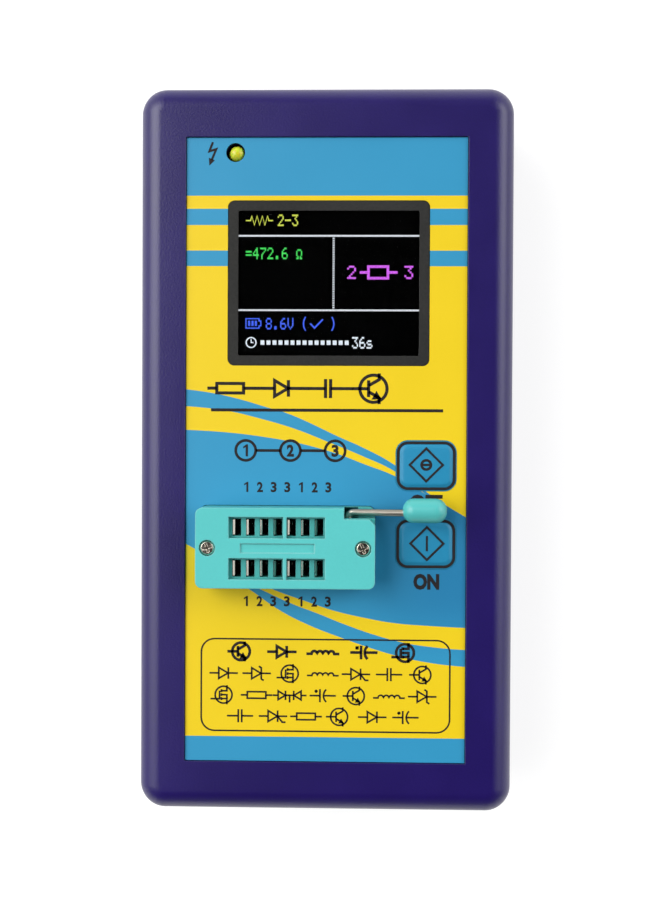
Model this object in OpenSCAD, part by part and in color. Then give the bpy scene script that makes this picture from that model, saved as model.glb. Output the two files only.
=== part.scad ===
// Handheld component tester lying on its back: a two-shell plastic case with a recessed front
// panel, a colour display, two keys, an indicator lamp and a zero-insertion-force test socket.
// X runs across the case, Y up its length, Z out of its front. Millimetres.

/* [Case] */
// Width across the side walls at the joint line
case_w = 72; // [71:0.5:78]
// Length over the end walls at the joint line
case_l = 139; // [137:0.5:150]
// Thickness from the back face to the front rim
case_h = 27; // [26.5:0.25:30]
// Wall thickness of both shells
wall = 2.2; // [2:0.1:2.6]
// Radius of the four corners seen from the front
corner_r = 5.3; // [5:0.1:7]
// Rounding of the front rim
front_r = 4.2; // [2:0.1:4.5]
// Rounding of the back rim
back_r = 3; // [2:0.1:4]
// Height of the joint line between the shells
split_z = 12.5; // [10:0.5:15]
// Lean of each side wall from the joint line to the rim
draft = 0.35; // [0:0.05:0.45]
// Radius of the screw pillars
pillar_r = 3.9; // [3.6:0.1:4]
// Thickness of the tongue that lines the shells up
tongue_t = 1; // [0.8:0.05:1.1]
// Height of that tongue
tongue_h = 1.6; // [1:0.1:2.4]

/* [Front panel] */
// Width of the printed film
panel_w = 53.2; // [52:0.1:56]
// Width of the case's border above and below the film
border_end = 10.3; // [9:0.1:12]
// Depth of the recess that holds the film
panel_recess = 0.9; // [0.7:0.05:1.2]
// Thickness of the film
film_t = 0.5; // [0.3:0.05:0.6]
// Thickness of the front wall under the film
roof_t = 1.6; // [1.3:0.05:2]

/* [Display] */
// Centre of the display across the panel
display_x = 0.4; // [-1:0.1:1]
// Distance from the case's top end to the middle of the display
display_down = 37.8; // [36:0.1:39.5]
// Width of the display's bezel
bezel_w = 38.1; // [37.5:0.1:40]
// Height of the display's bezel
bezel_l = 31.1; // [30.5:0.1:33]
// Width of the clear window
window_w = 34.4; // [33:0.1:35]
// Height of the clear window
window_l = 27.5; // [26:0.1:28]
// Width of the display module
lcd_w = 46.7; // [44:0.1:47.5]
// Height of the display module
lcd_l = 34; // [32:0.1:35]
// Thickness of the display module
lcd_t = 2.4; // [2:0.1:2.6]

/* [Keys and lamp] */
// Width of a key cap
key_w = 11.3; // [10.5:0.1:11.8]
// Height of a key cap
key_l = 9.4; // [8.6:0.1:9.8]
// Corner radius of a key cap
key_r = 2.2; // [1.6:0.1:3]
// Centre of both keys across the panel
key_x = 19.05; // [18.8:0.05:19.4]
// Distance from the case's bottom end to the middle of the upper key
off_up = 66.7; // [66.3:0.1:68.5]
// Distance from the case's bottom end to the middle of the lower key
test_up = 51.9; // [50.5:0.1:52.1]
// Travel of a key
key_travel = 0.3; // [0.2:0.05:0.3]
// Distance from the case's left side to the middle of the lamp
led_side = 18.9; // [18.4:0.1:19.8]
// Distance from the case's top end to the lamp
led_down = 13.2; // [13:0.1:13.7]
// Radius of the lamp's dome
led_r = 1.45; // [1.3:0.05:1.5]

/* [Test socket] */
// Centre of the socket across the panel
socket_x = -7.2; // [-8:0.1:-6.8]
// Distance from the case's bottom end to the middle of the socket
socket_up = 51.5; // [50.6:0.1:52]
// Width of the socket
socket_w = 33.2; // [32.8:0.1:33.6]
// Depth of the socket
socket_l = 14.9; // [14.8:0.1:15.6]
// Height of the socket's base over the film
base_rise = 3.8; // [3.6:0.1:4.4]
// Thickness of the socket's cover
cover_t = 3.6; // [3.4:0.1:4]
// Contacts in a row
contacts_per_row = 7; // [5:1:7]
// Pitch of the contacts in a row
pitch = 2.54; // [2.4:0.02:2.54]
// Distance between the two rows
row_gap = 7.62; // [7.4:0.02:7.7]
// Row centre measured from the socket's centre
row_shift = -1.4; // [-1.5:0.05:-1.3]
// Radius of the lever wire
wire_r = 0.65; // [0.5:0.05:0.65]
// Throw of the lever's cranks
crank_throw = 0.6; // [0.5:0.02:0.6]
// Rise of the closed lever above the panel, in degrees
lever_rise = 7; // [5:0.5:9]
// Distance from the lever's pivot to the middle of its knob
lever_reach = 14.3; // [13.8:0.1:15]
// Length of the lever's knob
knob_l = 8.2; // [7:0.1:9]
// Radius of the lever's knob
knob_r = 2.3; // [1.9:0.1:2.4]

/* [Boards and battery] */
// Thickness of the circuit board
board_t = 1.6; // [1:0.1:1.6]
// Gap between the front wall and the circuit board
board_gap = 3.6; // [3.5:0.1:3.8]
// Gap between the circuit board and each side wall
board_side = 7.8; // [7.8:0.1:8.6]
// Length of the battery's can
battery_l = 46.4; // [45:0.1:46.8]
// Width of the battery's can
battery_w = 26.4; // [25.5:0.1:26.6]
// Height of the battery's can
battery_h = 17.4; // [16.5:0.1:17.6]

/* [Battery door] */
// Width of the sliding door
door_w = 54.5; // [53.5:0.1:54.6]
// Thickness of the sliding door
door_t = 2; // [1.8:0.05:2.1]
// Reach of the door's side tongues
door_tongue = 1.2; // [0.8:0.1:1.4]

/* [Hidden] */

// Clearances: a fixed fit, a running fit and a sliding gap
fit = 0.1;
run_fit = 0.05;
slide_gap = 0.12;
over = 1;
round_fn = 48;

// Places in the case, measured from its ends and its left side
led_x = led_side - case_w / 2;
panel_l = case_l - 2 * border_end;
display_y = case_l / 2 - display_down;
led_y = case_l / 2 - led_down;
led_hole = [led_x - 0.25, led_y + 0.1];
led_hole_r = led_r + 0.35;
off_y = off_up - case_l / 2;
test_y = test_up - case_l / 2;
socket_y = socket_up - case_l / 2;

// Levels, from the front wall down to the board
panel_floor = case_h - panel_recess;
film_top = panel_floor + film_t;
roof_in = panel_floor - roof_t;
board_top = roof_in - board_gap;
board_bottom = board_top - board_t;
cavity_w = case_w - 2 * wall;
cavity_l = case_l - 2 * wall;
cavity_r = corner_r - wall;

// Battery bay at the bottom end, with the battery lying across the case
bay_gap = 0.6;
bay_wall = 1.5;
bay_w = door_w + 2 * 0.15;
bay_low = -cavity_l / 2;
bay_high = bay_low + battery_w + 2 * bay_gap;
bay_top = board_bottom - 1;
battery_y = (bay_low + bay_high) / 2;
battery_x = -2;
battery_z = door_t + 0.6;
terminal_h = 2.4;
terminal_y = 6.35;
snap_gap = 0.3;
snap_t = 4.6;
snap_w = 25;
snap_h = 12.5;
snap_r = 2.5;
snap_x = battery_x + battery_l / 2 + snap_gap;
lead_x = snap_x + snap_t / 2;
lead_r = 0.65;

// Screw places
pillar_x = cavity_w / 2 - pillar_r + 0.5;
pillar_top_y = cavity_l / 2 - pillar_r + 0.5;
pillar_low_y = bay_high + bay_wall + pillar_r + 0.4;
pillars = [for (x = [-pillar_x, pillar_x], y = [pillar_low_y, pillar_top_y]) [x, y]];
screw_r = 1.25;
screw_head_r = 2.7;
screw_head_z = 1.2;
screw_head_t = 2;
board_w = cavity_w - 2 * board_side;
board_low = pillar_low_y - 1;
board_high = pillar_top_y - pillar_r - 0.4;
boss_r = 2.5;
boss_x = board_w / 2 - 3;
bosses = [for (x = [-boss_x, boss_x], y = [board_low + 3.5, board_high - 3]) [x, y]];
board_screw_r = 0.9;

// Places of the parts under the board
chip_y = board_low + 41;
chip_w = 7;
crystal_x = -8;
crystal_h = 3.4;
regulator = [boss_x - 9, board_low + 11];
capacitor_r = 2.5;
capacitor_h = 7;
capacitor_places = [[9 - boss_x, chip_y + 14], [boss_x - 7, chip_y + 6], [5 - boss_x, board_low + 7]];
resistor = [1.25, 2, 0.55];
resistor_start = [-12, chip_y - 10];
resistor_step = [3.4, -5];
lead_step = 3;

// Display's ribbon under the module, and the pad beside it
ribbon_reach = 8;
ribbon_l = 18;
ribbon_t = 0.2;
ribbon_fold = 3.1;
pad_inset = 4;

// Key stack
cap_rise = 0.5;
flange_t = 0.4;
flange_top = panel_floor - 0.15;
flange_side = 0.45;
cap_side = 0.15;
plunger_r = 1.75;
plunger_top = flange_top - flange_t - 0.35;
switch_w = 6;
switch_h = plunger_top - board_top - key_travel - 0.5;

// Socket levels and places
socket_r = 1.3;
base_top = film_top + base_rise;
base_bottom = board_top + 0.3;
cover_top = base_top + cover_t;
slider_bottom = base_top + slide_gap;
slider_top = cover_top - 1.3;
cavity_top = slider_top + 0.2;
slot_w = 1.6;
slot_l = 3.2;
row_x = socket_x + row_shift;
row_half = (contacts_per_row - 1) / 2;
slots = [for (i = [0 : contacts_per_row - 1]) row_x + (i - row_half) * pitch];
rows = [socket_y - row_gap / 2, socket_y + row_gap / 2];
blade_t = 0.25;
blade_lip = 0.11;
blade_rise = 0.28;
blade_x = -slot_w / 2 + 0.08 + blade_lip + blade_t / 2;
blade_l = 2.8;
pin_r = 0.3;
socket_screw_x = 14.4;
socket_screw_r = 0.9;
socket_head_r = 1.38;
socket_head_edge = 0.28;
notch_x = socket_x + 10.85;
notch_depth = 2;
notch_y = socket_y + socket_l / 2 - notch_depth;

// Lever: a wire shaft across the socket, with two cranks that push the slider and a bend to its arm
bend_r = 1;
lever_inset = 0.8;
lever_side = 1.02;
lever_sink = 1.4;
lever_x = notch_x + lever_inset;
lever_y = notch_y + lever_side;
lever_z = base_top - lever_sink;
lever_turn = 82;
crank_start = 90 - lever_turn / 2;
crank_pin_r = 0.45;
crank_l = 3;
web_t = 0.5;
web_r = crank_throw / 2 + wire_r + 0.05;
crank_y = row_gap / 2 - 0.7;
cranks = [socket_y - crank_y, socket_y + crank_y];
pocket_gap = 0.15;
slider_travel = 2 * crank_throw * sin(lever_turn / 2);
pin_x = lever_x + crank_throw * cos(crank_start);
lip_t = 0.8;
lip_gap = 0.1;
slider_l = socket_l - 3.1;
field_w = 13.7;
slider_edge = 1.2;
knob_flat = 0.25;
slider_low_x = slots[0] - slot_w / 2 - slider_edge;
slider_high_x = slots[contacts_per_row - 1] + slot_w / 2 + slider_edge;
shaft_end_y = socket_y - socket_l / 2 + 1.4;

purple = [0.23, 0.18, 0.44];
teal = [0.37, 0.80, 0.78];
teal_dark = [0.20, 0.62, 0.60];
nickel = [0.75, 0.74, 0.70];

// Points of an arc about a centre, from one angle to another
function arc(c, r, a0, a1, n = 8) =
    [for (i = [0 : n]) let (a = a0 + (a1 - a0) * i / n) c + r * [cos(a), sin(a)]];

// Point of a cubic curve with four control points, and its direction there
function curve(p, t) = pow(1 - t, 3) * p[0] + 3 * pow(1 - t, 2) * t * p[1]
    + 3 * (1 - t) * t * t * p[2] + t * t * t * p[3];
function curve_along(p, t) =
    let (d = pow(1 - t, 2) * (p[1] - p[0]) + 2 * (1 - t) * t * (p[2] - p[1]) + t * t * (p[3] - p[2]))
        d / norm(d);

module rounded_rect(w, l, r) {
    square([w - 2 * r, l], center = true);
    square([w, l - 2 * r], center = true);
    for (x = [-1, 1], y = [-1, 1])
        translate([x * (w / 2 - r), y * (l / 2 - r)]) circle(r, $fn = round_fn);
}

module slab(w, l, r, low, high)
    translate([0, 0, low]) linear_extrude(high - low) rounded_rect(w, l, r);

module block(x, y, z)
    translate([x[0], y[0], z[0]]) cube([x[1] - x[0], y[1] - y[0], z[1] - z[0]]);

// A rod or hole standing along Z
module post(at, r, low, high)
    translate([at[0], at[1], low]) cylinder(r = r, h = high - low, $fn = round_fn);

// A rod or hole lying along Y
module rod_y(x, z, r, low, high)
    translate([x, high, z]) rotate([90, 0, 0]) cylinder(r = r, h = high - low, $fn = round_fn);

// The case's outer form, from one corner profile set at the four corners
module case_half(profile)
    hull()
        for (x = [-1, 1], y = [-1, 1])
            translate([x * (case_w / 2 - corner_r), y * (case_l / 2 - corner_r), 0])
                rotate_extrude($fn = round_fn) polygon(profile);

module front_half()
    case_half(concat([[0, split_z], [corner_r, split_z]],
        arc([corner_r - draft - front_r, case_h - front_r], front_r, 0, 90), [[0, case_h]]));

module rear_half()
    case_half(concat([[0, 0]],
        arc([corner_r - draft - back_r, back_r], back_r, -90, 0), [[corner_r, split_z], [0, split_z]]));

// Ring just outside the cavity line, for the tongue and its rebate
module tongue_ring(inner_gap, outer, low, high)
    translate([0, 0, low]) linear_extrude(high - low) difference() {
        rounded_rect(cavity_w + 2 * outer, cavity_l + 2 * outer, cavity_r + outer);
        rounded_rect(cavity_w - 2 * inner_gap, cavity_l - 2 * inner_gap, cavity_r - inner_gap);
    }

module socket_opening(low, high)
    block([socket_x - socket_w / 2 - fit, socket_x + socket_w / 2 + fit],
        [socket_y - socket_l / 2 - fit, socket_y + socket_l / 2 + fit], [low, high]);

module front_shell() color(purple) difference() {
    union() {
        difference() {
            front_half();
            slab(cavity_w, cavity_l, cavity_r, split_z - over, roof_in);
        }
        for (p = pillars) post(p, pillar_r, split_z, roof_in + 0.5);
        for (p = bosses) post(p, boss_r, board_top, roof_in + 0.5);
    }
    slab(panel_w + 2 * fit, panel_l + 2 * fit, 0.2, panel_floor, case_h + over);
    tongue_ring(fit, tongue_t + fit, split_z - over, split_z + tongue_h + 2 * fit);
    post(led_hole, led_hole_r, roof_in - over, case_h);
    translate([display_x, display_y, 0])
        slab(bezel_w - 1.6, bezel_l - 1.6, 0.6, roof_in - over, case_h);
    for (y = [off_y, test_y])
        translate([key_x, y, 0])
            slab(key_w + 2 * (flange_side + cap_side), key_l + 2 * (flange_side + cap_side),
                key_r + 0.4, roof_in - over, case_h);
    socket_opening(roof_in - over, case_h);
    for (p = pillars) post(p, screw_r + run_fit, split_z - over, split_z + 9);
    for (p = bosses) post(p, board_screw_r + run_fit, board_top - over, roof_in - 0.3);
}

module rear_shell() color(purple) difference() {
    union() {
        difference() {
            rear_half();
            slab(cavity_w, cavity_l, cavity_r, wall, split_z + over);
        }
        tongue_ring(0, tongue_t, split_z - 0.5, split_z + tongue_h);
        for (p = pillars) post(p, pillar_r, wall / 2, split_z);
        for (x = [-1, 1])
            block([x * (bay_w + bay_wall) / 2 - bay_wall / 2, x * (bay_w + bay_wall) / 2 + bay_wall / 2],
                [bay_low - 0.5, bay_high + bay_wall], [wall / 2, split_z - 0.5]);
        block([-bay_w / 2 - bay_wall, bay_w / 2 + bay_wall], [bay_high, bay_high + bay_wall],
            [wall / 2, bay_top]);
    }
    for (p = pillars) {
        post(p, screw_head_r + 0.2, -over, screw_head_z + screw_head_t);
        post(p, screw_r + 0.3, 0, split_z + over);
    }
    block([-bay_w / 2, bay_w / 2], [bay_low, bay_high], [-over, wall + over]);
    block([-bay_w / 2, bay_w / 2], [-case_l / 2 - over, bay_low + over], [-over, door_t + fit]);
    block([-bay_w / 2 - door_tongue, bay_w / 2 + door_tongue], [-case_l / 2 - over, bay_high],
        [0.85, 1.75]);
    block([lead_x - 2 * lead_r, lead_x + 5 * lead_r], [bay_high - over, bay_high + bay_wall + over],
        [battery_z + battery_h / 2 - 5, bay_top + over]);
}

module battery_door() color(purple) difference() {
    union() {
        intersection() {
            rear_half();
            block([-door_w / 2, door_w / 2], [-case_l / 2 - over, bay_high - slide_gap], [-over, door_t]);
        }
        for (x = [-1, 1])
            block([x * door_w / 2 - door_tongue, x * door_w / 2 + door_tongue],
                [-case_l / 2 + back_r + 0.5, bay_high - slide_gap], [0.95, 1.65]);
    }
    for (i = [0 : 5])
        block([-9 + i * 0.5, 9 - i * 0.5], [bay_high - 5 - 1.6 * i, bay_high - 4.2 - 1.6 * i], [-over, 0.5]);
}

module front_film() color([0.95, 0.83, 0.17]) difference() {
    block([-panel_w / 2, panel_w / 2], [-panel_l / 2, panel_l / 2], [panel_floor, film_top]);
    post(led_hole, led_hole_r, panel_floor - over, film_top + over);
    translate([display_x, display_y, 0])
        slab(bezel_w + 2 * fit, bezel_l + 2 * fit, 1.3, panel_floor - over, film_top + over);
    for (y = [off_y, test_y])
        translate([key_x, y, 0])
            slab(key_w + 2 * cap_side, key_l + 2 * cap_side, key_r + cap_side,
                panel_floor - over, film_top + over);
    socket_opening(panel_floor - over, film_top + over);
}

module display_bezel() color([0.22, 0.22, 0.22]) translate([display_x, display_y, 0]) difference() {
    union() {
        slab(bezel_w, bezel_l, 1.2, panel_floor, film_top - 0.1);
        slab(bezel_w - 1.8, bezel_l - 1.8, 0.5, roof_in + fit, panel_floor + 0.1);
    }
    slab(window_w, window_l, 0.4, roof_in - over, film_top + over);
}

module display_window() color([0.1, 0.1, 0.12, 0.4]) translate([display_x, display_y, 0])
    slab(window_w - 2 * run_fit, window_l - 2 * run_fit, 0.35, roof_in, film_top - 0.3);

module display_module() color([0.06, 0.06, 0.07]) translate([display_x, display_y, 0]) {
    lcd_top = roof_in - fit;
    slab(lcd_w, lcd_l, 0.8, lcd_top - lcd_t, lcd_top - 0.5);
    slab(lcd_w - 3, lcd_l - 2, 0.4, lcd_top - 0.6, lcd_top);
}

module display_pad() color([0.9, 0.9, 0.88]) translate([display_x, display_y, 0])
    slab(lcd_w - 2 * (ribbon_reach + 0.6), lcd_l - 2 * pad_inset, 1, board_top, roof_in - fit - lcd_t);

module display_ribbon() color([0.75, 0.5, 0.15]) {
    strip_x = display_x + lcd_w / 2;
    strip_z = roof_in - fit - lcd_t;
    ribbon_y = [display_y - ribbon_l / 2, display_y + ribbon_l / 2];
    fold_x = strip_x - ribbon_fold;
    block([strip_x - ribbon_reach, fold_x], ribbon_y, [strip_z - ribbon_t, strip_z]);
    block([fold_x - ribbon_t, fold_x], ribbon_y, [board_top, strip_z]);
    block([strip_x - ribbon_reach + 1, fold_x], ribbon_y, [board_top, board_top + ribbon_t]);
}

// A pillow-topped cap with a flange that the film holds in
module key_cap(y) translate([key_x, y, 0]) {
    slab(key_w + 2 * flange_side, key_l + 2 * flange_side, key_r + 0.2, flange_top - flange_t, flange_top);
    slab(key_w, key_l, key_r, flange_top - 0.1, film_top);
    hull() {
        slab(key_w, key_l, key_r, film_top - 0.1, film_top + 0.1);
        slab(key_w - 1.8, key_l - 1.8, key_r - 0.6, film_top, film_top + cap_rise);
    }
    post([0, 0], plunger_r + 0.3, plunger_top, flange_top - flange_t + 0.1);
}

module off_key() color([0.19, 0.49, 0.67]) key_cap(off_y);
module test_key() color([0.19, 0.49, 0.67]) key_cap(test_y);

// Round button of a tactile switch
module plunger(y) {
    post([key_x, y], plunger_r, board_top + switch_h - 1.2, plunger_top);
    post([key_x, y], plunger_r + 0.3, board_top + switch_h - 1.6, board_top + switch_h - 1.1);
}

module off_plunger() color([0.1, 0.1, 0.1]) plunger(off_y);
module test_plunger() color([0.1, 0.1, 0.1]) plunger(test_y);

module key_switches() color([0.2, 0.2, 0.2])
    for (y = [off_y, test_y]) difference() {
        block([key_x - switch_w / 2, key_x + switch_w / 2], [y - switch_w / 2, y + switch_w / 2],
            [board_top, board_top + switch_h]);
        post([key_x, y], plunger_r + fit, board_top + 0.5, board_top + switch_h + over);
        post([key_x, y], plunger_r + 0.4, board_top + 0.4, board_top + switch_h - 0.8);
    }

module indicator_lamp() color([0.86, 0.88, 0.2]) translate([led_x, led_y, 0]) {
    low = board_top + 1.2;
    dome = film_top + 0.3 - led_r;
    rotate_extrude($fn = round_fn)
        polygon(concat([[0, low], [led_r + 0.35, low], [led_r + 0.35, low + 0.9], [led_r, low + 0.9]],
            arc([0, dome], led_r, 0, 90)));
    for (x = [-1.27, 1.27]) post([x, 0], 0.25, board_bottom - 1, low + 0.3);
}

module socket_screw_holes(r, low, high)
    for (x = [-1, 1]) post([socket_x + x * socket_screw_x, socket_y], r, low, high);

module socket_base() color(teal) difference() {
    union() {
        translate([socket_x, socket_y, 0]) slab(socket_w, socket_l, socket_r, base_bottom, base_top);
        for (x = [-1, 1], y = [-1, 1])
            post([socket_x + x * (socket_w / 2 - 2), socket_y + y * (socket_l / 2 - 2)], 1,
                board_top, base_bottom + 0.5);
    }
    // Step under the lever, and the dark slot where the wire turns down into the base
    block([notch_x, socket_x + socket_w], [notch_y, socket_y + socket_l], [lever_z - 0.8, base_top + over]);
    block([notch_x, notch_x + 2.6], [notch_y - 0.2, notch_y + 1.9], [base_bottom + 3, base_top]);
    // Shaft groove and crank pockets
    rod_y(lever_x, lever_z, wire_r + run_fit, shaft_end_y, notch_y + 0.5);
    block([lever_x - wire_r - run_fit, lever_x + wire_r + run_fit], [shaft_end_y, notch_y + 0.5],
        [lever_z, base_top + over]);
    for (y = cranks)
        block([pin_x - crank_pin_r - lip_gap - lip_t - slider_travel - pocket_gap,
               pin_x + crank_pin_r + lip_gap + lip_t + pocket_gap],
            [y - crank_l / 2 - pocket_gap, y + crank_l / 2 + pocket_gap],
            [lever_z - 1.6, base_top + over]);
    // Contact wells, open below for the pins
    for (y = rows, x = slots) {
        block([x - slot_w / 2, x + slot_w / 2], [y - slot_l / 2, y + slot_l / 2],
            [base_bottom + 2, base_top + over]);
        post([x + blade_x, y], pin_r + fit, base_bottom - over, base_bottom + 3);
    }
    socket_screw_holes(socket_screw_r + run_fit, base_bottom + 3, base_top + over);
}

// Comb plate whose slots spread the contacts as the cranks push it
module socket_slider() color(teal_dark) difference() {
    union() {
        block([slider_low_x, slider_high_x], [socket_y - slider_l / 2, socket_y + slider_l / 2],
            [slider_bottom, slider_top]);
        for (y = cranks) {
            arm_l = crank_l - 2 * web_t - 0.3;
            fork = pin_x + crank_pin_r + lip_gap + lip_t;
            block([slider_high_x - 0.5, fork], [y - arm_l / 2, y + arm_l / 2], [slider_bottom, slider_top]);
            block([pin_x - crank_pin_r - lip_gap - lip_t, fork], [y - arm_l / 2, y + arm_l / 2],
                [lever_z - 0.5, slider_bottom + 0.1]);
        }
    }
    for (y = rows, x = slots)
        block([x - slot_w / 2, x + slot_w / 2], [y - slot_l / 2, y + slot_l / 2],
            [slider_bottom - over, slider_top + over]);
    block([pin_x - crank_pin_r - lip_gap, pin_x + crank_pin_r + lip_gap],
        [cranks[0] - crank_l, cranks[1] + crank_l], [lever_z - over, slider_bottom + 0.35]);
}

module socket_cover() color(teal) difference() {
    union() {
        translate([0, 0, base_top]) linear_extrude(cover_t) difference() {
            translate([socket_x, socket_y]) rounded_rect(socket_w, socket_l, socket_r);
            translate([notch_x, notch_y]) square([socket_w, socket_l]);
            translate([socket_x + socket_w / 2, notch_y]) rotate(45) square(1.6, center = true);
        }
        // Keepers that hold the shaft down in its groove
        for (y = [[shaft_end_y + 0.2, cranks[0] - crank_l / 2 - 0.3],
                  [cranks[0] + crank_l / 2 + 0.3, cranks[1] - crank_l / 2 - 0.3]])
            block([lever_x - wire_r, lever_x + wire_r], y, [lever_z + wire_r + run_fit, base_top + 0.2]);
    }
    // Cavity for the slider and its two arms
    block([slider_low_x - slider_travel - 0.2, slider_high_x + 0.2],
        [socket_y - slider_l / 2 - slide_gap, socket_y + slider_l / 2 + slide_gap],
        [base_top - over, cavity_top]);
    for (y = cranks)
        block([slider_high_x - over, pin_x + crank_pin_r + lip_gap + lip_t + pocket_gap],
            [y - crank_l / 2, y + crank_l / 2], [base_top - over, cavity_top]);
    // Windows over the slots, split by a rib after the fourth slot
    rib_x = slots[min(3, contacts_per_row - 2)] + pitch / 2 + 0.1;
    rib_w = 0.6;
    for (y = rows) {
        window_y = [y - slot_l / 2 - 0.35, y + slot_l / 2 + 0.35];
        block([slots[0] - slot_w / 2 - 0.6, rib_x - rib_w / 2], window_y, [cavity_top - over, cover_top + over]);
        block([rib_x + rib_w / 2, slots[contacts_per_row - 1] + slot_w / 2 + 0.35], window_y,
            [cavity_top - over, cover_top + over]);
    }
    // Shallow field between the rows
    block([row_x - field_w / 2, row_x + field_w / 2], [socket_y - 0.85, socket_y + 0.85],
        [cover_top - 0.3, cover_top + over]);
    socket_screw_holes(socket_screw_r + fit, base_top - over, cover_top + over);
    socket_screw_holes(socket_head_r + fit, cover_top - 1.1, cover_top + over);
}

// One row of spring blades, each with a bent lip that leads a wire in, and with their solder pins
module contact_row(y) {
    low = base_bottom + 2.3;
    tip = slider_top - 0.1;
    half = blade_t / 2;
    for (x = slots) {
        translate([x + blade_x, y + blade_l / 2, 0]) rotate([90, 0, 0]) linear_extrude(blade_l)
            polygon([[-half, low], [half, low], [half, tip - blade_rise], [-half - blade_lip, tip],
                [-half - blade_lip, tip - 0.15], [-half, tip - blade_rise]]);
        post([x + blade_x, y], pin_r, board_bottom - 1.2, base_bottom + 2.9);
    }
}

module upper_contacts() color(nickel) contact_row(rows[1]);
module lower_contacts() color(nickel) contact_row(rows[0]);

module socket_screws() color(nickel) {
    socket_screw_holes(socket_screw_r, base_bottom + 3.5, cover_top - 0.5);
    for (x = [-1, 1]) translate([socket_x + x * socket_screw_x, socket_y, cover_top - 1]) difference() {
        rotate_extrude($fn = round_fn)
            polygon([[0, 0], [socket_head_r, 0], [socket_head_r, 0.9 - socket_head_edge],
                [socket_head_r - socket_head_edge, 0.9], [0, 0.9]]);
        for (a = [0, 90]) translate([0, 0, 0.9]) rotate(a + 20) cube([1.7, 0.4, 0.8], center = true);
    }
}

module socket_lever() color(nickel) {
    stops = [shaft_end_y + 0.1, cranks[0] - crank_l / 2, cranks[0] + crank_l / 2,
             cranks[1] - crank_l / 2, cranks[1] + crank_l / 2, lever_y - bend_r];
    for (i = [0, 2, 4]) rod_y(lever_x, lever_z, wire_r, stops[i], stops[i + 1]);
    for (y = cranks) {
        rod_y(pin_x, lever_z + crank_throw * sin(crank_start), crank_pin_r,
            y - crank_l / 2 + web_t / 2, y + crank_l / 2 - web_t / 2);
        for (side = [-1, 1], edge = y + side * (crank_l - web_t) / 2)
            rod_y((lever_x + pin_x) / 2, lever_z + crank_throw * sin(crank_start) / 2, web_r,
                edge - web_t / 2, edge + web_t / 2);
    }
    translate([lever_x, lever_y, lever_z]) rotate([0, -lever_rise, 0]) {
        translate([bend_r, -bend_r, 0]) rotate(90)
            rotate_extrude(angle = 90, $fn = round_fn) translate([bend_r, 0]) circle(wire_r, $fn = 24);
        translate([bend_r, 0, 0]) rotate([0, 90, 0])
            cylinder(r = wire_r, h = lever_reach - knob_l / 2 + 3 - bend_r, $fn = 24);
    }
}

module lever_knob() color(teal) translate([lever_x, lever_y, lever_z]) rotate([0, 90 - lever_rise, 0])
    difference() {
        translate([0, 0.45, lever_reach]) rotate_extrude($fn = round_fn)
            polygon(concat([[0, -knob_l / 2]],
                arc([knob_flat, knob_r - knob_flat - knob_l / 2], knob_r - knob_flat, -90, 0),
                arc([knob_flat, knob_l / 2 - knob_r + knob_flat], knob_r - knob_flat, 0, 90),
                [[0, knob_l / 2]]));
        cylinder(r = wire_r + 0.01, h = lever_reach - knob_l / 2 + 3, $fn = round_fn);
    }

module main_board() color([0.1, 0.38, 0.2]) difference() {
    block([-board_w / 2, board_w / 2], [board_low, board_high], [board_bottom, board_top]);
    for (p = bosses) post(p, board_screw_r + 0.25, board_bottom - over, board_top + over);
    for (y = rows, x = slots) post([x + blade_x, y], pin_r + fit, board_bottom - over, board_top + over);
    for (x = [-1.27, 1.27]) post([led_x + x, led_y], 0.4, board_bottom - over, board_top + over);
}

// Square chip with a row of legs on each side, under the board
module microcontroller() color([0.08, 0.08, 0.08]) translate([2, chip_y, board_bottom]) {
    block([-chip_w / 2, chip_w / 2], [-chip_w / 2, chip_w / 2], [-1.2, -0.1]);
    for (turn = [0 : 90 : 270], i = [-3.5 : 3.5])
        rotate(turn)
            block([chip_w / 2 - 0.2, chip_w / 2 + 1], [i * 0.8 - 0.17, i * 0.8 + 0.17], [-0.5, 0]);
}

module crystal() color(nickel) translate([crystal_x, chip_y, board_bottom - crystal_h])
    linear_extrude(crystal_h) rounded_rect(4.6, 11, 2.2);

module voltage_regulator() color([0.1, 0.1, 0.1]) translate([regulator[0], regulator[1], board_bottom]) {
    block([-3.2, 3.2], [-1.7, 1.7], [-1.7, -0.1]);
    for (x = [-2.3, 0, 2.3]) block([x - 0.35, x + 0.35], [1.5, 3], [-0.4, 0]);
    block([-1.5, 1.5], [-3, -1.5], [-0.4, 0]);
}

module capacitors() color([0.15, 0.17, 0.35])
    for (p = capacitor_places) {
        post(p, capacitor_r, board_bottom - capacitor_h, board_bottom - 0.3);
        post(p, capacitor_r + 0.2, board_bottom - 0.6, board_bottom);
    }

module resistors() color([0.12, 0.12, 0.13])
    for (i = [0 : 5], j = [0 : 1])
        translate([resistor_start[0] + resistor_step[0] * i, resistor_start[1] + resistor_step[1] * j,
            board_bottom - resistor[2]]) cube(resistor);

module battery() color([0.2, 0.2, 0.22]) {
    translate([battery_x - battery_l / 2, battery_y, battery_z + battery_h / 2]) rotate([90, 0, 90])
        linear_extrude(battery_l) rounded_rect(battery_w, battery_h, 2);
    for (t = [[-terminal_y, 2.9], [terminal_y, 4]])
        translate([battery_x + battery_l / 2 - 0.1, battery_y + t[0], battery_z + battery_h / 2])
            rotate([0, 90, 0]) cylinder(r = t[1], h = terminal_h + 0.1, $fn = round_fn);
}

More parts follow.
